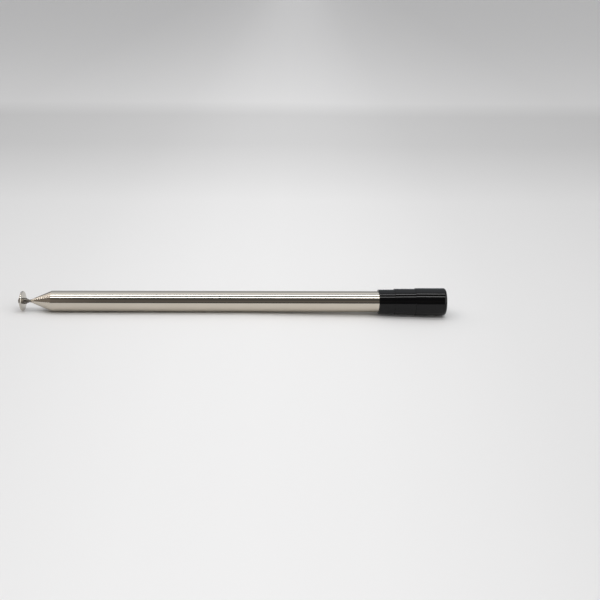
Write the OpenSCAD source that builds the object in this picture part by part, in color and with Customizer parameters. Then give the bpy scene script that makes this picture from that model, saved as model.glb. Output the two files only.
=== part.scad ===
// Telescopic antenna, collapsed and lying along X.
// Origin: centre of the threaded hole's mouth in the base plug's end face. The tip points to -X.
// Every piece is turned about Z first, with the base face at z = 0, and then laid down.

/* [Telescope] */
// Diameter of the solid tip rod
rod_d = 1.8; // [1.4:0.1:2.6]
// Wall of every tube
tube_wall = 0.35; // [0.3:0.01:0.45]
// Room between a tube's bore and the section that slides in it
slide_gap = 0.28; // [0.26:0.01:0.36]
// From the base face to the mouth of the outer tube
outer_tube_reach = 247.2; // [160:0.1:320]
// How far each mouth stands out past the one round it
mouth_step = 1.5; // [1.2:0.01:2]

/* [Necks] */
// Length of the neck that is spun at each mouth
neck_len = 0.95; // [0.8:0.05:1.15]
// How round the shoulder of a neck is: 1 is a plain cone
shoulder_curve = 1.6; // [1:0.1:2]
// How much further down the tube the neck starts inside than outside
neck_root = 0.1; // [0.05:0.05:0.3]
// Straight guide inside the lip of a neck
neck_land = 0.4; // [0.2:0.05:0.6]
// Wall that the spinning leaves at the lip
lip_wall = 0.14; // [0.08:0.01:0.18]
// Running clearance of a neck round the section in it
neck_clear = 0.05; // [0.03:0.01:0.08]

/* [Feet] */
// Thickness of a foot's flange
foot_flange = 0.8; // [0.5:0.1:1.5]
// Room along the foot for the friction collar
collar_room = 2.4; // [1.8:0.1:3]
// Length of the foot's spigot in its tube
foot_spigot = 2.2; // [1.6:0.1:4]
// Wall of a bush round its through hole
bush_wall = 0.7; // [0.4:0.05:0.8]
// Running clearance of a flange in the tube round it
foot_clear = 0.05; // [0.03:0.01:0.09]
// Gap between a foot and what it comes to rest on
rest_gap = 0.3; // [0.1:0.05:0.6]

/* [Friction collars] */
// Thickness of the phosphor-bronze strip
collar_strip = 0.15; // [0.1:0.01:0.2]
// Clearance of the collar's crown in the tube round it
collar_clear = 0.03; // [0.02:0.01:0.06]
// Play of the collar along its foot, at each end
collar_play = 0.1; // [0.05:0.01:0.2]
// Angle of the split in the collar
collar_split = 32; // [20:1:60]
// Width of the slots that make the collar springy
slot_w = 0.45; // [0.3:0.05:0.7]
// Spacing of the slots round the collar
slot_pitch = 2.4; // [2:0.1:4]
// Uncut rim at each end of the collar
slot_rim = 0.45; // [0.3:0.05:0.6]

/* [Joints within a section] */
// Radial clearance of a spigot in its tube
seat_clear = 0.02; // [0.01:0.01:0.04]
// Depth of the bead that locks a tube on its spigot
bead_depth = 0.15; // [0.05:0.01:0.25]
// Width of that bead
bead_w = 0.8; // [0.5:0.1:1.4]

/* [Base plug] */
// Thickness of the flange that the outer tube stands on
plug_flange = 3; // [1.5:0.1:6]
// Wall radius of the tapped M10 hole, at the crests of its thread
thread_r = 4.25; // [3:0.05:4.4]
// Depth of the tapped wall
thread_depth = 12; // [6:0.5:30]
// Height of the drill point past the tapped wall
drill_point = 2.5; // [1:0.1:3]
// Metal left between the drill point and the plug's inner end
plug_floor = 1.5; // [0.8:0.1:5]
// Chamfer at the mouth of the hole
mouth_chamfer = 0.25; // [0.1:0.05:0.3]
// Chamfers round the plug
plug_chamfer = 0.3; // [0.1:0.05:0.6]

/* [Shrink sleeve] */
// Wall of the layer on the tube
inner_wall = 1; // [0.8:0.05:1.6]
// Wall of the middle layer
middle_wall = 0.5; // [0.3:0.05:1.2]
// Wall of the outer layer
outer_wall = 0.4; // [0.3:0.05:0.9]
// From the base face to the end of the layer on the tube
inner_reach = 42.8; // [36:0.1:60]
// From the base face to the end of the middle layer
middle_reach = 32.5; // [24:0.1:35]
// From the base face to the end of the outer layer
outer_reach = 19.6; // [8:0.1:23]
// Clearance under each layer
layer_clear = 0.02; // [0.01:0.01:0.04]
// How far the curled end stays behind the plug's face
curl_back = 0.1; // [0.05:0.05:0.5]
// Outer radius of the curl round the ends of the layers
curl_r = 1.7; // [1.2:0.05:2]
// Rounding of the layers' cut ends
end_r = 0.25; // [0.1:0.05:0.3]

/* [Tip button] */
// Rod left showing between the last mouth and the button
rod_show = 1.8; // [1:0.1:12]
// Length of the narrow step of the hub
hub_step_len = 1.1; // [0.5:0.1:3]
// Radius of the narrow step of the hub
hub_step_r = 1.25; // [1:0.05:1.6]
// Length of the wide step of the hub
hub_len = 1.9; // [1:0.1:5]
// Radius of the wide step of the hub
hub_r = 1.9; // [1.7:0.05:3]
// Diameter of the disc
disc_d = 12.5; // [9:0.1:20]
// Thickness of the disc at its rim
disc_t = 1.4; // [0.8:0.1:2.5]
// Height of the dome on the disc's outer face
dome_h = 0.8; // [0.2:0.1:1.5]

/* [Riveted ends of the rod] */
// Radius of the rod's end where it passes through the button
rivet_pin_r = 0.6; // [0.4:0.05:0.65]
// Radius of the riveted head outside the button
rivet_r = 1.8; // [1:0.05:2.2]
// Height of that head
rivet_h = 1; // [0.6:0.1:1.8]
// Rounding of that head's edge
rivet_round = 0.35; // [0.1:0.05:0.5]
// Flat left on the button round that head
rivet_seat = 0.15; // [0.05:0.05:0.6]
// How much narrower the rod's lower end is in its foot, on the radius
rod_shoulder = 0.37; // [0.3:0.01:0.42]
// Depth of the countersink that the rod's lower end is spread into
spread_h = 0.3; // [0.15:0.05:0.4]

/* [Hidden] */
$fn = 48;
tube_count = 9;
rod_section = tube_count + 1;

// Section 1 is the outer tube and the last one is the rod, sized from the inside out
section_step = tube_wall + slide_gap;
function section_r(k) = rod_d / 2 + (rod_section - k) * section_step;
function bore_r(k) = section_r(k) - tube_wall;
function mouth_z(k) = outer_tube_reach + (k - 1) * mouth_step;

// The feet stand on each other when the antenna is collapsed, the first one on the plug
plug_len = thread_depth + drill_point + plug_floor;
foot_len = foot_flange + collar_room + foot_spigot;
function foot_z(k) = plug_len + rest_gap + (k - 2) * (foot_len + rest_gap);
function tube_z(k) = k == 1 ? plug_flange : foot_z(k) + foot_flange + collar_room;
function spigot_len(k) = k == 1 ? plug_len - plug_flange : foot_spigot;
function spigot_r(k) = k == rod_section ? rod_d / 2 - rod_shoulder : bore_r(k) - seat_clear;
function bead_z(k) = tube_z(k) + spigot_len(k) / 2;

// Layers of the sleeve, from the tube outwards
sleeve_bore = section_r(1) + layer_clear;
inner_r = sleeve_bore + inner_wall;
middle_r = inner_r + layer_clear + middle_wall;
outer_r = middle_r + layer_clear + outer_wall;
curl_z = curl_back + outer_wall;
curl_mid = [outer_r - curl_r, curl_back + curl_r];
curl_in = curl_r - outer_wall;

// The button, from its hub to the rod's riveted head
hub_start = mouth_z(tube_count) + rod_show;
disc_z = hub_start + hub_step_len + hub_len;
dome_z = disc_z + disc_t;
face_z = dome_z + dome_h;
face_r = rivet_r + rivet_seat;
tip_z = face_z + rivet_h;
pin_hole_r = rivet_pin_r + seat_clear;

bronze = "#b5793f";
brass = "#c9a558";
nickel = "#c4c0b6";
stainless = "#c6c3bb";
shrink_black = "#141415";

// Points on an arc about [cr, cz], turned from angle a to angle b in n steps
function arc(cr, cz, radius, a, b, n) =
    [for (i = [0:n]) [cr + radius * cos(a + (b - a) * i / n), cz + radius * sin(a + (b - a) * i / n)]];

// Three points of a V at height z that goes in by depth from radius r
function bead(r, z, depth, w) = [[r, z - w / 2], [r - depth, z], [r, z + w / 2]];

// The same points in the opposite order
function turned_round(points) = [for (i = [len(points) - 1:-1:0]) points[i]];

module laid_down() {
    rotate([0, -90, 0]) children();
}

// A turned piece: its half section is a list of [radius, z]
module turned(shade, points) {
    color(shade) laid_down() rotate_extrude() polygon(points);
}

module base_plug() {
    turned(nickel, concat(
        [
            [thread_r + mouth_chamfer, 0],
            [section_r(1) - plug_chamfer, 0],
            [section_r(1), plug_chamfer],
            [section_r(1), plug_flange],
            [spigot_r(1), plug_flange]
        ],
        bead(spigot_r(1), bead_z(1), bead_depth, bead_w),
        [
            [spigot_r(1), plug_len - plug_chamfer],
            [spigot_r(1) - plug_chamfer, plug_len],
            [0, plug_len],
            [0, thread_depth + drill_point],
            [thread_r, thread_depth],
            [thread_r, mouth_chamfer]
        ]
    ));
}

// How low a layer reaches at a radius: flat at first, then along the inside of the curl
function layer_low(r) =
    curl_mid[1] - sqrt(max(pow(curl_in - layer_clear, 2) - pow(max(r - curl_mid[0], 0), 2), 0));

// One layer of shrunk tubing under the curl, with its far end rounded
module shrink_layer(r_in, r_out, reach) {
    low_steps = 5;
    turned(shrink_black, concat(
        [for (i = [0:low_steps]) let (r = r_in + (r_out - r_in) * i / low_steps) [r, layer_low(r)]],
        arc(r_out - end_r, reach - end_r, end_r, 0, 90, 3),
        [[r_in, reach]]
    ));
}

module sleeve_inner() {
    shrink_layer(sleeve_bore, inner_r, inner_reach);
}

module sleeve_middle() {
    shrink_layer(inner_r + layer_clear, middle_r, middle_reach);
}

// The outer layer has shrunk in round the ends of the two below it
module sleeve_outer() {
    turned(shrink_black, concat(
        [[sleeve_bore, curl_back]],
        arc(curl_mid[0], curl_mid[1], curl_r, -90, 0, 6),
        arc(outer_r - end_r, outer_reach - end_r, end_r, 0, 90, 3),
        [[middle_r + layer_clear, outer_reach]],
        arc(curl_mid[0], curl_mid[1], curl_in, 0, -90, 6),
        [[sleeve_bore, curl_z]]
    ));
}

// A tube with its locking bead near the foot and its spun neck at the mouth
module tube(k) {
    neck_r = section_r(k + 1) + neck_clear;
    drop = section_r(k) - neck_r - lip_wall;
    mouth = mouth_z(k);
    shoulder_steps = 4;
    turned(stainless, concat(
        [[section_r(k), tube_z(k)]],
        bead(section_r(k), bead_z(k), bead_depth, bead_w),
        [for (i = [0:shoulder_steps]) let (s = i / shoulder_steps)
            [section_r(k) - drop * pow(s, shoulder_curve), mouth - neck_len * (1 - s)]],
        [
            [neck_r, mouth],
            [neck_r, mouth - neck_land],
            [bore_r(k), mouth - neck_len - neck_root]
        ],
        turned_round(bead(bore_r(k), bead_z(k), bead_depth, bead_w)),
        [[bore_r(k), tube_z(k)]]
    ));
}

// The brass bush in a tube's foot: flange, shank under the collar, and spigot
module bush(k) {
    flange_r = bore_r(k - 1) - foot_clear;
    hole_r = spigot_r(k) - bush_wall;
    top = foot_z(k) + foot_len;
    turned(brass, concat(
        [
            [hole_r, foot_z(k)],
            [flange_r, foot_z(k)],
            [flange_r, foot_z(k) + foot_flange],
            [spigot_r(k), foot_z(k) + foot_flange]
        ],
        bead(spigot_r(k), bead_z(k), bead_depth, bead_w),
        [[spigot_r(k), top], [hole_r, top]]
    ));
}

// A split collar that bows out between its two ends, slotted so that it gives
module collar(k) {
    low = foot_z(k) + foot_flange + collar_play;
    high = tube_z(k) - collar_play;
    end_in = spigot_r(k) + collar_clear;
    crown = bore_r(k - 1) - collar_clear;
    bow = crown - collar_strip - end_in;
    steps = 6;
    inside = [for (i = [0:steps]) [end_in + bow * (1 - pow(2 * i / steps - 1, 2)), low + (high - low) * i / steps]];
    outside = [for (p = turned_round(inside)) [p[0] + collar_strip, p[1]]];
    slots = max(3, floor((360 - collar_split) / 360 * 2 * PI * crown / slot_pitch));
    slot_angle = slot_w / crown * 180 / PI;
    color(bronze) laid_down() difference() {
        rotate_extrude(angle = 360 - collar_split) polygon(concat(inside, outside));
        for (i = [0:slots - 1])
            rotate([0, 0, (360 - collar_split) * (i + 0.5) / slots - slot_angle / 2])
                rotate_extrude(angle = slot_angle)
                    translate([end_in / 2, low + slot_rim])
                        square([crown, high - low - 2 * slot_rim]);
    }
}

// The rod's foot: a brass flange with a countersink below for the rod's spread end
module rod_foot() {
    low = foot_z(rod_section);
    hole_r = spigot_r(rod_section) + seat_clear;
    flange_r = bore_r(tube_count) - foot_clear;
    turned(brass, [
        [hole_r + spread_h, low],
        [flange_r, low],
        [flange_r, low + foot_flange],
        [hole_r, low + foot_flange],
        [hole_r, low + spread_h]
    ]);
}

// The solid rod, spread into its foot at one end and riveted over the button at the other
module tip_rod() {
    low = foot_z(rod_section);
    pin_r = spigot_r(rod_section);
    turned(stainless, concat(
        [
            [0, low],
            [pin_r + spread_h, low],
            [pin_r, low + spread_h],
            [pin_r, tube_z(rod_section)],
            [rod_d / 2, tube_z(rod_section)],
            [rod_d / 2, hub_start],
            [rivet_pin_r, hub_start],
            [rivet_pin_r, face_z],
            [rivet_r, face_z]
        ],
        arc(rivet_r - rivet_round, tip_z - rivet_round, rivet_round, 0, 90, 4),
        [[0, tip_z]]
    ));
}

// The turned button: stepped hub, disc with a full round rim, and a low dome
module tip_button() {
    rim = disc_t / 2;
    disc_r = disc_d / 2;
    dome_half = (disc_r - rim - face_r);
    turned(nickel, concat(
        [
            [pin_hole_r, hub_start],
            [hub_step_r, hub_start],
            [hub_step_r, hub_start + hub_step_len],
            [hub_r, hub_start + hub_step_len],
            [hub_r, disc_z]
        ],
        arc(disc_r - rim, disc_z + rim, rim, -90, 90, 8),
        [for (i = [1:5]) [face_r + dome_half * (1 - i / 6), dome_z + dome_h * (1 - pow(1 - i / 6, 2))]],
        [[face_r, face_z], [pin_hole_r, face_z]]
    ));
}

base_plug();
sleeve_inner();
sleeve_middle();
sleeve_outer();
for (k = [1:tube_count]) tube(k);
for (k = [2:tube_count]) bush(k);
for (k = [2:tube_count]) collar(k);
collar(rod_section);  // rod_collar
rod_foot();
tip_rod();
tip_button();
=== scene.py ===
"""Telescopic antenna, collapsed and lying on a pale table: its visible surfaces, finishes, light and camera."""
import math
import bmesh
import bpy
import numpy as np
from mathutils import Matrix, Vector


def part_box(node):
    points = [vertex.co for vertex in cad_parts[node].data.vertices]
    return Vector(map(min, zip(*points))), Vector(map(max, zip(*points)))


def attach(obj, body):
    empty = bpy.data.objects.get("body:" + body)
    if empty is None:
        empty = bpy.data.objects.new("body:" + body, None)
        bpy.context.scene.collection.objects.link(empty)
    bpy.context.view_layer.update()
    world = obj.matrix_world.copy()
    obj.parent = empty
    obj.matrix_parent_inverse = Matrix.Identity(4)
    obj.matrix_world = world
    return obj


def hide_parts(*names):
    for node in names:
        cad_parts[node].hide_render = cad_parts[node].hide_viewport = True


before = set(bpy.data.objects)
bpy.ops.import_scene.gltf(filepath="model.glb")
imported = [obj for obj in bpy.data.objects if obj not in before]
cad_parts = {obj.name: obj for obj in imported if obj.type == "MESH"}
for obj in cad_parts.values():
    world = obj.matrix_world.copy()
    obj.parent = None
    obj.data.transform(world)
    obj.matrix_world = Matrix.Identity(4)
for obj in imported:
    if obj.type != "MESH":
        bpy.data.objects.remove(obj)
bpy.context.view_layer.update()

MM = 0.001
TUBES = 9
SECTIONS = TUBES + 1


# Shapes

def smooth_corners(points, cut, steps=4):
    """Rounds the inner corners of an open outline of (x, r).

    A corner P is left at P1 and P2, the cut's length before and after it, or half a side if that is
    less. Between them runs (1-t)^2 P1 + 2t(1-t) P + t^2 P2, for t from 0 to 1.
    """
    points = np.asarray(points, float)
    t = np.linspace(0, 1, steps + 1)[:, None]
    rows = [points[:1]]
    for before, corner, after in zip(points[:-2], points[1:-1], points[2:]):
        back, on = before - corner, after - corner
        back_len, on_len = np.linalg.norm(back), np.linalg.norm(on)
        start = corner + back / back_len * min(cut, back_len / 2)
        end = corner + on / on_len * min(cut, on_len / 2)
        rows.append((1 - t) ** 2 * start + 2 * t * (1 - t) * corner + t ** 2 * end)
    rows.append(points[-1:])
    return np.vstack(rows)


def spaced(low, high, step):
    """Places from low to high, about a step apart."""
    return np.linspace(low, high, max(2, int(round(abs(high - low) / step)) + 1))


def skin(name, x, r, around=192, closed=True):
    """A surface round the X axis: a point is (x, r cos a, r sin a), with a going once round.

    x and r hold one row for each ring and one column for each angle, or one column for all. The
    last ring joins the first if closed is true. Otherwise both end rings lie on the axis, and each
    is merged into one point.
    """
    a = np.linspace(0, 2 * math.pi, around, endpoint=False)[None, :]
    x = np.broadcast_to(x, (len(x), around))
    r = np.broadcast_to(r, (len(r), around))
    points = np.stack([x, r * np.cos(a), r * np.sin(a)], -1).reshape(-1, 3)
    rings = len(x)
    row = np.arange(rings if closed else rings - 1)[:, None] * around
    next_row = np.roll(row, -1) if closed else row + around
    col = np.arange(around)[None, :]
    next_col = (col + 1) % around
    quads = np.stack([row + col, row + next_col, next_row + next_col, next_row + col], -1).reshape(-1, 4)
    mesh = bpy.data.meshes.new(name)
    mesh.from_pydata(points.tolist(), [], quads.tolist())
    tidy = bmesh.new()
    tidy.from_mesh(mesh)
    bmesh.ops.remove_doubles(tidy, verts=tidy.verts, dist=1e-7)
    bmesh.ops.recalc_face_normals(tidy, faces=tidy.faces)
    tidy.to_mesh(mesh)
    tidy.free()
    mesh.shade_smooth()
    mesh.set_sharp_from_angle(angle=math.radians(32))
    piece = bpy.data.objects.new(name, mesh)
    bpy.context.scene.collection.objects.link(piece)
    return piece


def turned(name, outline, closed=True, around=192):
    """A turned piece: every ring of the skin is round."""
    outline = np.asarray(outline, float)
    return skin(name, outline[:, :1], outline[:, 1:], around, closed)


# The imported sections: section 1 is the outer tube, and the last one the rod
def section_body(k):
    return "base" if k == 1 else "tip" if k == SECTIONS else f"section_{k}"


tube_boxes = {k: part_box(f"tube_{k}") for k in range(1, SECTIONS)}
tube_r = {k: box[1].z for k, box in tube_boxes.items()}
tube_mouth = {k: box[0].x for k, box in tube_boxes.items()}
tube_foot = {k: box[1].x for k, box in tube_boxes.items()}
rod_r = 0.9 * MM
tube_r[SECTIONS] = rod_r
TUBE_WALL = 0.35 * MM
NECK_LEN = 0.95 * MM
NECK_ROOT = 0.1 * MM
NECK_LAND = 0.4 * MM
NECK_CLEAR = 0.05 * MM
LIP_WALL = 0.14 * MM
SHOULDER_LEN = 1.3 * MM
SHOULDER_CURVE = 1.3
BEAD_DEPTH = 0.15 * MM
BEAD_W = 0.8 * MM
FOOT_SPIGOT = 2.2 * MM
PLUG_SPIGOT = 13 * MM


def tube_outline(k):
    """The half section of a tube, from its foot along the outside to the mouth and back inside.

    The neck's outside falls from the tube's radius by drop * s ** SHOULDER_CURVE, where s goes from
    0 at the shoulder to 1 at the lip. Polishing has carried the shoulder back beyond the neck.
    """
    outer, foot, mouth = tube_r[k], tube_foot[k], tube_mouth[k]
    bore = outer - TUBE_WALL
    guide = tube_r[k + 1] + NECK_CLEAR
    bead_x = foot - (PLUG_SPIGOT if k == 1 else FOOT_SPIGOT) / 2
    bead = np.array([[BEAD_W / 2, 0], [0, -BEAD_DEPTH], [-BEAD_W / 2, 0]])
    s = np.linspace(0, 1, 9)[:, None]
    neck = np.hstack([mouth + SHOULDER_LEN * (1 - s), outer - (outer - guide - LIP_WALL) * s ** SHOULDER_CURVE])
    outside = smooth_corners(np.vstack([[foot, outer], bead + [bead_x, outer], neck[:1]]), 0.15 * MM, 3)
    lip = smooth_corners([neck[-2], neck[-1], [mouth, guide], [mouth + NECK_LAND, guide],
                          [mouth + NECK_LEN + NECK_ROOT, bore]], 0.05 * MM, 3)
    inside = np.vstack([bead[::-1] + [bead_x, bore], [foot, bore]])
    return np.vstack([outside, neck[1:-1], lip[1:], inside])


def make_tubes(steel):
    for k in range(1, SECTIONS):
        tube = turned(f"polished_tube_{k}", tube_outline(k), around=256 if k < 4 else 160)
        tube.data.materials.append(steel)
        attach(tube, section_body(k))
        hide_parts(f"tube_{k}")


ROD_PIN_R = 0.53 * MM
ROD_SPREAD = 0.3 * MM
ROD_SHOULDER_UP = 3.2 * MM
RIVET_PIN_R = 0.6 * MM
RIVET_R = 1.8 * MM
RIVET_H = 1.0 * MM
RIVET_ROUND = 0.35 * MM


def make_rod(steel):
    """The rod with its spread lower end, shoulders and the riveted head outside the button."""
    low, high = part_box("tip_rod")
    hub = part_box("tip_button")[1].x
    face = low.x + RIVET_H
    t = np.linspace(0, math.pi / 2, 9)[:, None]
    head = np.hstack([low.x + RIVET_ROUND * (1 - np.sin(t)), RIVET_R - RIVET_ROUND * (1 - np.cos(t))])
    outline = np.vstack([
        [high.x, 0],
        [high.x, ROD_PIN_R + ROD_SPREAD],
        [high.x - ROD_SPREAD, ROD_PIN_R],
        [high.x - ROD_SHOULDER_UP, ROD_PIN_R],
        [high.x - ROD_SHOULDER_UP, rod_r],
        [hub, rod_r],
        [hub, RIVET_PIN_R],
        [face, RIVET_PIN_R],
        [face, RIVET_R],
        head,
        [low.x, 0],
    ])
    rod = turned("solid_rod", outline, closed=False, around=96)
    rod.data.materials.append(steel)
    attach(rod, "tip")
    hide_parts("tip_rod")


HUB_STEP_LEN = 1.1 * MM
HUB_STEP_R = 1.25 * MM
HUB_LEN = 1.9 * MM
HUB_R = 1.9 * MM
DISC_T = 1.4 * MM
DOME_H = 0.8 * MM
RIVET_SEAT = 0.15 * MM
PIN_HOLE_R = 0.62 * MM


def make_button(nickel):
    """The turned button: stepped hub, disc with a full round rim, and a dome up to a flat round the rivet."""
    low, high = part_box("tip_button")
    disc_r = high.z
    disc_x = high.x - HUB_STEP_LEN - HUB_LEN
    rim = DISC_T / 2
    hub = smooth_corners([
        [high.x, PIN_HOLE_R],
        [high.x, HUB_STEP_R],
        [high.x - HUB_STEP_LEN, HUB_STEP_R],
        [high.x - HUB_STEP_LEN, HUB_R],
        [disc_x, HUB_R],
        [disc_x, disc_r - rim],
    ], 0.18 * MM)
    a = np.linspace(0, math.pi, 17)[1:, None]
    edge = np.hstack([disc_x - rim + rim * np.cos(a), disc_r - rim + rim * np.sin(a)])
    s = np.linspace(0, 1, 13)[1:, None]
    face_r = RIVET_R + RIVET_SEAT
    dome = np.hstack([disc_x - DISC_T - DOME_H * (1 - (1 - s) ** 2), disc_r - rim - (disc_r - rim - face_r) * s])
    outline = np.vstack([hub, edge, dome, [low.x, PIN_HOLE_R]])
    button = turned("turned_button", outline, around=256)
    button.data.materials.append(nickel)
    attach(button, "tip")
    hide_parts("tip_button")


LAYER_WALLS = {"sleeve_inner": 1.0 * MM, "sleeve_middle": 0.5 * MM, "sleeve_outer": 0.4 * MM}
LAYER_SLANTS = {"sleeve_inner": 0.5 * MM, "sleeve_middle": 0.35 * MM, "sleeve_outer": 0.35 * MM}
CAMERA_SIDE = math.radians(160)
LAYER_CLEAR = 0.02 * MM
CURL_R = 1.7 * MM
CURL_BACK = 0.1 * MM
END_R = 0.25 * MM


def ripple(x, a, seed, size):
    """Shrunk tubing is never quite even: slow waves along x and round a, of about this size."""
    wave = np.sin(3 * a + seed + x * 160) + 0.7 * np.sin(2 * a - 1.7 * seed + x * 330) + 0.5 * np.sin(5 * a + 2.3 * seed)
    return size * wave / 2.2


def make_layer(node, seed, black):
    """One layer of shrunk tubing: a wall with a rounded far end, slightly wavy along and round it.

    The outer layer's base end follows the curl, a quarter circle of CURL_R. The layers under it stop
    on the curl's inner side.
    """
    low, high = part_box(node)
    outer = high.z
    wall = LAYER_WALLS[node]
    far, near = low.x, high.x
    sleeve_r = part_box("sleeve_outer")[1].z
    mid_x, mid_r = -CURL_BACK - CURL_R, sleeve_r - CURL_R
    quarter = np.linspace(-math.pi / 2, 0, 9)[:, None]
    if node == "sleeve_outer":
        bore = tube_r[1] + LAYER_CLEAR
        curl = np.hstack([mid_x - CURL_R * np.sin(quarter), mid_r + CURL_R * np.cos(quarter)])
        inside_r = CURL_R - LAYER_WALLS[node]
        under = np.hstack([mid_x - inside_r * np.sin(quarter[::-1]), mid_r + inside_r * np.cos(quarter[::-1])])
        start = np.vstack([[near, bore], curl])
        finish_at = np.vstack([under, [under[-1, 0], bore]])
    else:
        inside_r = CURL_R - LAYER_WALLS["sleeve_outer"] - LAYER_CLEAR
        r = np.linspace(outer - wall, outer, 9)[:, None]
        x = mid_x + np.sqrt(np.maximum(inside_r ** 2 - np.maximum(r - mid_r, 0) ** 2, 0))
        start = np.hstack([x, r])
        finish_at = start[:1]
    body_x = spaced(start[-1, 0], far + END_R, 0.8 * MM)[1:, None]
    body = np.hstack([body_x, np.full_like(body_x, outer)])
    t = np.linspace(0, math.pi / 2, 5)[1:, None]
    end = np.hstack([far + END_R * (1 - np.sin(t)), outer - END_R * (1 - np.cos(t))])
    back = np.array([[far, outer - wall]])
    if node != "sleeve_outer":
        outline = np.vstack([start, body, end, back])
    else:
        outline = np.vstack([start, body, end, back, finish_at])
    around = 192
    a = np.linspace(0, 2 * math.pi, around, endpoint=False)[None, :]
    x, r = outline[:, :1], outline[:, 1:]
    outside = np.clip((r - (outer - 0.6 * wall)) / (0.6 * wall), 0, 1) * np.clip((mid_x - x) / (2 * MM), 0, 1)
    r = r - outside * (0.02 * MM + ripple(x, a, seed, 0.02 * MM))
    cut = np.clip(1 - (x - far) / (4 * MM), 0, 1)
    slant = LAYER_SLANTS[node] * (np.cos(a - CAMERA_SIDE) + (0.6 if node == "sleeve_inner" else 0))
    x = x + cut * (slant + ripple(x * 0, a, seed + 1.1, 0.05 * MM))
    layer = skin("shrunk_" + node, x, r, around)
    layer.data.materials.append(black)
    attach(layer, "base")
    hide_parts(node)


THREAD_R = 4.25 * MM
THREAD_ROOT_R = 5.0 * MM
THREAD_PITCH = 1.5 * MM
THREAD_DEPTH = 12 * MM
DRILL_POINT = 2.5 * MM
PLUG_LEN = 16 * MM
PLUG_FLANGE = 3 * MM
PLUG_CHAMFER = 0.3 * MM
MOUTH_CHAMFER = 0.25 * MM


def make_plug(nickel):
    """The base plug with its M10 thread cut.

    In the hole the radius is crest + (root - crest) * g(phase), where phase is the depth in
    pitches less the angle in turns, and g is a 60 degree groove with a narrow flat crest and root.
    The groove fades out over the first half turn and the last turn.
    """
    around = 192
    a = np.linspace(0, 2 * math.pi, around, endpoint=False)[None, :]
    flange_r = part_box("base_plug")[1].z
    spigot_r = flange_r - TUBE_WALL - 0.02 * MM
    depth = spaced(MOUTH_CHAMFER, THREAD_DEPTH, THREAD_PITCH / 16)[:, None]
    phase = (depth / THREAD_PITCH - a / (2 * math.pi)) % 1
    groove = np.clip((1 - np.abs(2 * phase - 1) - 0.14) / 0.72, 0, 1)
    fade = np.clip((depth - MOUTH_CHAMFER) / (0.5 * THREAD_PITCH), 0, 1)
    fade = fade * np.clip((THREAD_DEPTH - depth) / THREAD_PITCH, 0, 1)
    hole_r = THREAD_R + (THREAD_ROOT_R - THREAD_R) * groove * fade
    bead_x = -PLUG_FLANGE - PLUG_SPIGOT / 2
    body = smooth_corners([
        [0, THREAD_R + MOUTH_CHAMFER],
        [0, flange_r - PLUG_CHAMFER],
        [-PLUG_CHAMFER, flange_r],
        [-PLUG_FLANGE, flange_r],
        [-PLUG_FLANGE, spigot_r],
        [bead_x + BEAD_W / 2, spigot_r],
        [bead_x, spigot_r - BEAD_DEPTH],
        [bead_x - BEAD_W / 2, spigot_r],
        [-PLUG_LEN + PLUG_CHAMFER, spigot_r],
        [-PLUG_LEN, spigot_r - PLUG_CHAMFER],
        [-PLUG_LEN, 0],
    ], 0.06 * MM)
    body = body[::-1]
    tip = np.array([[-THREAD_DEPTH - DRILL_POINT, 0]])
    x = np.vstack([np.broadcast_to(body[:, :1], (len(body), around)),
                   np.broadcast_to(-depth, (len(depth), around)),
                   np.broadcast_to(tip[:, :1], (1, around))])
    r = np.vstack([np.broadcast_to(body[:, 1:], (len(body), around)), hole_r, np.zeros((1, around))])
    plug = skin("threaded_plug", x, r, around, closed=False)
    plug.data.materials.append(nickel)
    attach(plug, "base")
    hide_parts("base_plug")


# Finishes

def linear(colour):
    """An sRGB hex colour as linear red, green, blue and alpha."""
    parts = [int(colour[i:i + 2], 16) / 255 for i in (1, 3, 5)]
    return [c / 12.92 if c <= 0.04045 else ((c + 0.055) / 1.055) ** 2.4 for c in parts] + [1]


def add(tree, kind, inputs=None, **settings):
    """Adds one node. An input takes a value, or an output to be linked to."""
    node = tree.nodes.new(kind)
    for name, value in settings.items():
        setattr(node, name, value)
    for name, value in (inputs or {}).items():
        if isinstance(value, bpy.types.NodeSocket):
            tree.links.new(value, node.inputs[name])
        else:
            node.inputs[name].default_value = value
    return node


def new_finish(name, **sockets):
    """A material with one Principled shader, whose even values are set on its own sockets."""
    material = bpy.data.materials.new(name)
    material.use_nodes = True
    shader = material.node_tree.nodes["Principled BSDF"]
    for socket, value in sockets.items():
        shader.inputs[socket.replace("_", " ")].default_value = value
    return material, material.node_tree, shader


def object_pattern(tree, across, along, detail=3.0):
    """Noise on Object coordinates: across is its size round and through the piece, along its size in X."""
    place = add(tree, "ShaderNodeTexCoord").outputs["Object"]
    spread = add(tree, "ShaderNodeMapping", {"Vector": place, "Scale": (1 / along, 1 / across, 1 / across)})
    noise = add(tree, "ShaderNodeTexNoise", {"Vector": spread.outputs[0], "Scale": 1.0, "Detail": detail})
    return noise.outputs["Fac"]


def ranged(tree, value, low, high, to_low, to_high):
    """Maps a value from one range to another, clamped."""
    node = add(tree, "ShaderNodeMapRange", {"Value": value, "From Min": low, "From Max": high,
                                            "To Min": to_low, "To Max": to_high})
    return node.outputs[0]


def ramp(tree, value, stops):
    """A colour by value: stops hold places from 0 to 1 and their linear colours."""
    node = add(tree, "ShaderNodeValToRGB", {0: value})
    places = node.color_ramp.elements
    places[0].position, places[-1].position = stops[0][0], stops[-1][0]
    for place, _ in stops[1:-1]:
        places.new(place)
    for element, (_, colour) in zip(places, stops):
        element.color = (*colour, 1)
    return node.outputs[0]


def tinted(tree, factor, dark, light):
    """A colour between two hex colours."""
    mix = add(tree, "ShaderNodeMix", {"Factor": factor}, data_type="RGBA")
    mix.inputs[6].default_value = linear(dark)
    mix.inputs[7].default_value = linear(light)
    return mix.outputs[2]


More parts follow.
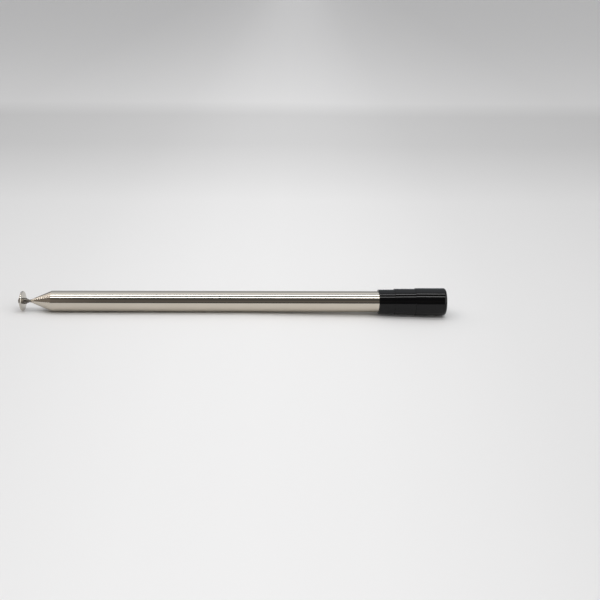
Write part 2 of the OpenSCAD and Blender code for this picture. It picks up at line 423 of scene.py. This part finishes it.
def drawn_stainless(name, dark, light):
    """304 stainless steel, drawn and then polished round: warm grey, with a nearly clear reflection.

    The polishing leaves rings about 0.02 mm apart, drawn 0.25 mm apart so that they show. They are the
    same all the way round, so the bright lines along a tube stay straight.
    """
    material, tree, shader = new_finish(name, Metallic=1.0)
    rings = object_pattern(tree, 1000 * MM, 0.25 * MM)
    handling = object_pattern(tree, 9 * MM, 22 * MM)
    tree.links.new(tinted(tree, handling, dark, light), shader.inputs["Base Color"])
    tree.links.new(ranged(tree, handling, 0.3, 0.7, 0.03, 0.045), shader.inputs["Roughness"])
    bump = add(tree, "ShaderNodeBump", {"Height": rings, "Strength": 0.08, "Distance": 0.004 * MM})
    tree.links.new(bump.outputs[0], shader.inputs["Normal"])
    return material


def bright_nickel():
    """Bright nickel plate on turned brass: a little yellower than steel, with the tool's rings under it.

    Near the axis, on the hub and at the drill's point, the plate is painted darker: painted shade for the dark round
    the hub.
    """
    material, tree, shader = new_finish("bright_nickel_plate", Metallic=1.0)
    place = add(tree, "ShaderNodeTexCoord").outputs["Object"]
    flat = add(tree, "ShaderNodeVectorMath", {0: place, 1: (0.0, 1.0, 1.0)}, operation="MULTIPLY")
    radius = add(tree, "ShaderNodeVectorMath", {0: flat.outputs[0]}, operation="LENGTH")
    along = add(tree, "ShaderNodeSeparateXYZ", {0: place})
    both = add(tree, "ShaderNodeCombineXYZ", {0: radius.outputs["Value"], 1: along.outputs[0]})
    rings = add(tree, "ShaderNodeTexNoise", {"Vector": both.outputs[0], "Scale": 1 / (0.18 * MM), "Detail": 2.0})
    handling = object_pattern(tree, 5 * MM, 5 * MM)
    # painted shade: within 2 mm of the axis the plate is coloured dark (#6f6a63), fading out by 2.3 mm
    clear_of_painted_shade = ranged(tree, radius.outputs["Value"], 2.0 * MM, 2.3 * MM, 0.0, 1.0)
    plate = add(tree, "ShaderNodeMix", {"Factor": clear_of_painted_shade}, data_type="RGBA")
    plate.inputs[6].default_value = linear("#6f6a63")
    tree.links.new(tinted(tree, handling, "#bdb8af", "#c8c4bc"), plate.inputs[7])
    tree.links.new(plate.outputs[2], shader.inputs["Base Color"])
    tree.links.new(ranged(tree, handling, 0.3, 0.7, 0.05, 0.08), shader.inputs["Roughness"])
    bump = add(tree, "ShaderNodeBump", {"Height": rings.outputs["Fac"], "Strength": 0.15, "Distance": 0.006 * MM})
    tree.links.new(bump.outputs[0], shader.inputs["Normal"])
    return material


def shrunk_polyolefin():
    """Heat-shrink tubing in black polyolefin: glossy, with the slow ripples of shrinking."""
    material, tree, shader = new_finish("black_polyolefin", IOR=1.34)
    handling = object_pattern(tree, 6 * MM, 9 * MM)
    tree.links.new(tinted(tree, handling, "#040405", "#080809"), shader.inputs["Base Color"])
    tree.links.new(ranged(tree, handling, 0.3, 0.7, 0.03, 0.05), shader.inputs["Roughness"])
    ripples = object_pattern(tree, 3 * MM, 7 * MM)
    bump = add(tree, "ShaderNodeBump", {"Height": ripples, "Strength": 0.1, "Distance": 0.01 * MM})
    tree.links.new(bump.outputs[0], shader.inputs["Normal"])
    return material


def turned_brass():
    """Free-cutting brass as it left the lathe, for the feet inside the tubes."""
    material, tree, shader = new_finish("turned_brass", Metallic=1.0)
    rings = object_pattern(tree, 20 * MM, 0.12 * MM)
    tree.links.new(tinted(tree, rings, "#c19a4c", "#d0ab5f"), shader.inputs["Base Color"])
    tree.links.new(ranged(tree, rings, 0.3, 0.7, 0.2, 0.3), shader.inputs["Roughness"])
    return material


def rolled_bronze():
    """Rolled phosphor-bronze strip, browner than the brass."""
    material, tree, shader = new_finish("rolled_phosphor_bronze", Metallic=1.0)
    streaks = object_pattern(tree, 0.3 * MM, 3 * MM)
    tree.links.new(tinted(tree, streaks, "#a8703c", "#bb8350"), shader.inputs["Base Color"])
    tree.links.new(ranged(tree, streaks, 0.3, 0.7, 0.22, 0.32), shader.inputs["Roughness"])
    return material


# Painted light on the paper: its colour is made lighter and darker by y, from its place and how far the light
# reaches, and by the distance in x from the middle of the light
PAPER_PAINTED_LIGHT_BY_Y = [(-0.20, 1.045), (0.0, 1.07), (0.26, 1.075), (0.36, 1.00), (0.50, 0.92), (0.68, 0.94), (0.79, 1.13)]
PAPER_PAINTED_LIGHT_BY_X = [(0.0, 1.0), (0.05, 0.985), (0.10, 0.945), (0.15, 0.895), (0.25, 0.845), (0.40, 0.80)]
PAPER_WHITE = (0.80, 0.797, 0.794)
LIGHT_MIDDLE_X = -0.11


def white_paper():
    """Matte white paper whose colour carries painted light: lighter and darker as the studio's light on it falls."""
    material, tree, shader = new_finish("matte_white_paper_painted_light", Roughness=0.75)
    place = add(tree, "ShaderNodeSeparateXYZ", {0: add(tree, "ShaderNodeTexCoord").outputs["Object"]})
    low, high = PAPER_PAINTED_LIGHT_BY_Y[0][0], PAPER_PAINTED_LIGHT_BY_Y[-1][0]
    away = ranged(tree, place.outputs[1], low, high, 0.0, 1.0)
    # painted light: the paper's colour falls off by y and by x, as the studio's light on it does
    painted_light_by_y = ramp(tree, away, [((y - low) / (high - low), [level * c for c in PAPER_WHITE]) for y, level in PAPER_PAINTED_LIGHT_BY_Y])
    from_middle = add(tree, "ShaderNodeMath", {0: place.outputs[0], 1: -LIGHT_MIDDLE_X}, operation="ADD")
    beside = add(tree, "ShaderNodeMath", {0: from_middle.outputs[0]}, operation="ABSOLUTE")
    painted_light_by_x = ramp(tree, beside.outputs[0], [(x, [level] * 3) for x, level in PAPER_PAINTED_LIGHT_BY_X])
    both = add(tree, "ShaderNodeMix", {"Factor": 1.0}, data_type="RGBA", blend_type="MULTIPLY")
    tree.links.new(painted_light_by_y, both.inputs[6])
    tree.links.new(painted_light_by_x, both.inputs[7])
    tree.links.new(both.outputs[2], shader.inputs["Base Color"])
    return material


# The pieces

steel = drawn_stainless("polished_stainless_steel", "#c6beb1", "#cec6ba")
# The rod and its rivet head take the same stainless steel as the tubes, coloured darker: painted shade.
shaded_rod_steel = drawn_stainless("drawn_stainless_rod_painted_shade", "#77726b", "#827d76")
nickel = bright_nickel()
black = shrunk_polyolefin()
brass = turned_brass()
bronze = rolled_bronze()
make_tubes(steel)
make_rod(shaded_rod_steel)
make_button(nickel)
make_plug(nickel)
for seed, node in enumerate(["sleeve_inner", "sleeve_middle", "sleeve_outer"]):
    make_layer(node, 1.3 * seed + 0.4, black)
for name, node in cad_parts.items():
    inside = brass if name.startswith("bush") or name == "rod_foot" else bronze
    if name.startswith(("bush", "collar")) or name in ("rod_foot", "rod_collar"):
        node.data.materials.clear()
        node.data.materials.append(inside)


# The table's paper: level under the outer tube's far part, then falling away evenly, so that the sleeve's
# outer layer rests on it too
TABLE_LEFT, TABLE_RIGHT, TABLE_FRONT, TABLE_BACK = -3.0, 3.0, -2.5, 4.0
PAPER_BEND_X = -125 * MM
PAPER_GAP = 0.02 * MM


def make_table():
    """Four places in x, each with its height, carried from the front to the back."""
    sleeve_low, sleeve_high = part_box("sleeve_outer")
    level = -tube_r[1] - PAPER_GAP
    slope = (-sleeve_high.z - PAPER_GAP - level) / (sleeve_low.x - PAPER_BEND_X)
    x = np.array([TABLE_LEFT, PAPER_BEND_X, 0.0, TABLE_RIGHT])
    z = level + slope * np.clip(x - PAPER_BEND_X, 0, -PAPER_BEND_X)
    front = np.stack([x, np.full(4, TABLE_FRONT), z], -1)
    back = np.stack([x, np.full(4, TABLE_BACK), z], -1)
    mesh = bpy.data.meshes.new("table_paper")
    mesh.from_pydata(np.vstack([front, back]).tolist(), [], [(i, i + 1, i + 5, i + 4) for i in range(3)])
    mesh.shade_smooth()
    table = bpy.data.objects.new("table_paper", mesh)
    bpy.context.scene.collection.objects.link(table)
    mesh.materials.append(white_paper())


make_table()


# Light: two narrow softboxes above the antenna, in a studio that is dark on the camera's side

BOX_AWAY = 1.3
BOX_WIDE = 0.105


def strip_box(name, angle, middle, length, radiance):
    """A softbox lengthwise along X, at a distance of BOX_AWAY. Its angle goes round X: 90 is overhead."""
    light = bpy.data.lights.new(name, "AREA")
    light.shape = "RECTANGLE"
    light.size, light.size_y = length, BOX_WIDE
    light.energy = radiance * math.pi * length * BOX_WIDE
    lamp = bpy.data.objects.new(name, light)
    bpy.context.scene.collection.objects.link(lamp)
    turn = math.radians(angle)
    lamp.location = (middle, BOX_AWAY * math.cos(turn), BOX_AWAY * math.sin(turn))
    lamp.rotation_euler = (turn - math.pi / 2, 0.0, 0.0)


strip_box("strip_overhead", 90, -0.25, 1.9, 8)
strip_box("strip_front", 115.4, -0.25, 1.9, 8)

# The studio round the X axis, as an angle and a colour: 0 is level behind the antenna, 90 overhead
# and 180 level on the camera's side
STUDIO_MIDDLE = [
    (0, (0.42, 0.44, 0.47)),
    (42, (0.52, 0.55, 0.59)),
    (56, (0.90, 0.94, 1.00)),
    (78, (0.95, 0.99, 1.04)),
    (84, (0.30, 0.30, 0.30)),
    (103, (0.18, 0.18, 0.17)),
    (118, (0.20, 0.20, 0.19)),
    (128, (0.13, 0.13, 0.13)),
    (140, (0.08, 0.08, 0.08)),
    (150, (0.10, 0.095, 0.09)),
    (156, (0.20, 0.18, 0.165)),
    (163, (0.13, 0.12, 0.115)),
    (170, (0.10, 0.10, 0.10)),
    (180, (0.12, 0.12, 0.12)),
]
STUDIO_LEFT = [
    (0, (0.04, 0.04, 0.04)),
    (27, (0.04, 0.04, 0.04)),
    (40, (1.05, 0.99, 0.96)),
    (85, (1.05, 0.99, 0.96)),
    (105, (0.25, 0.225, 0.205)),
    (180, (0.25, 0.225, 0.205)),
]
STUDIO_RIGHT = [
    (0, (0.60, 0.60, 0.60)),
    (90, (0.60, 0.60, 0.60)),
    (115, (1.70, 1.70, 1.70)),
    (180, (1.70, 1.70, 1.70)),
]
PLAIN_WALL = (0.78, 0.78, 0.78, 1)


def make_studio():
    """The world: a direction's angle is atan2(|z|, y), and its x says how far it is left or right.

    Seen directly, beyond the table's edge, it is a plain pale wall.
    """
    world = bpy.data.worlds.new("studio")
    bpy.context.scene.world = world
    world.use_nodes = True
    tree = world.node_tree
    direction = add(tree, "ShaderNodeSeparateXYZ", {0: add(tree, "ShaderNodeTexCoord").outputs["Generated"]})
    height = add(tree, "ShaderNodeMath", {0: direction.outputs[2]}, operation="ABSOLUTE")
    angle = add(tree, "ShaderNodeMath", {0: height.outputs[0], 1: direction.outputs[1]}, operation="ARCTAN2")
    part = add(tree, "ShaderNodeMath", {0: angle.outputs[0], 1: 1 / math.pi}, operation="MULTIPLY").outputs[0]
    whole = ramp(tree, part, [(degrees / 180, colour) for degrees, colour in STUDIO_MIDDLE])
    for side, start, end in ((STUDIO_LEFT, -0.36, -0.52), (STUDIO_RIGHT, 0.36, 0.52)):
        colours = ramp(tree, part, [(degrees / 180, colour) for degrees, colour in side])
        here = ranged(tree, direction.outputs[0], start, end, 0.0, 1.0)
        mix = add(tree, "ShaderNodeMix", {"Factor": here}, data_type="RGBA")
        tree.links.new(whole, mix.inputs[6])
        tree.links.new(colours, mix.inputs[7])
        whole = mix.outputs[2]
    seen = add(tree, "ShaderNodeLightPath").outputs["Is Camera Ray"]
    backdrop = add(tree, "ShaderNodeMix", {"Factor": seen}, data_type="RGBA")
    tree.links.new(whole, backdrop.inputs[6])
    backdrop.inputs[7].default_value = PLAIN_WALL
    tree.links.new(backdrop.outputs[2], tree.nodes["Background"].inputs["Color"])


make_studio()


# Camera: looks down on the antenna from the front, a little to the tip's side of its middle
VIEW_LENS = 53.0
VIEW_DISTANCE = 0.5525
VIEW_ELEVATION = 22.0
VIEW_AZIMUTH = 0.0
VIEW_ROLL = 0.11
VIEW_AIM = (-0.0912, 0.0, 0.00097)


def make_camera():
    lens = bpy.data.cameras.new("photo_camera")
    lens.lens = VIEW_LENS
    lens.sensor_width = 36.0
    lens.clip_start = 0.01
    camera = bpy.data.objects.new("photo_camera", lens)
    bpy.context.scene.collection.objects.link(camera)
    up, round_z = math.radians(VIEW_ELEVATION), math.radians(VIEW_AZIMUTH)
    back = (math.sin(round_z) * math.cos(up), -math.cos(round_z) * math.cos(up), math.sin(up))
    camera.location = [aim + VIEW_DISTANCE * way for aim, way in zip(VIEW_AIM, back)]
    camera.rotation_mode = "XYZ"
    turn = Vector(back).to_track_quat("Z", "Y").to_matrix()
    roll = Matrix.Rotation(math.radians(VIEW_ROLL), 3, "Z")
    camera.rotation_euler = (turn @ roll).to_euler()
    bpy.context.scene.camera = camera


make_camera()
bpy.context.scene.view_settings.view_transform = "Standard"
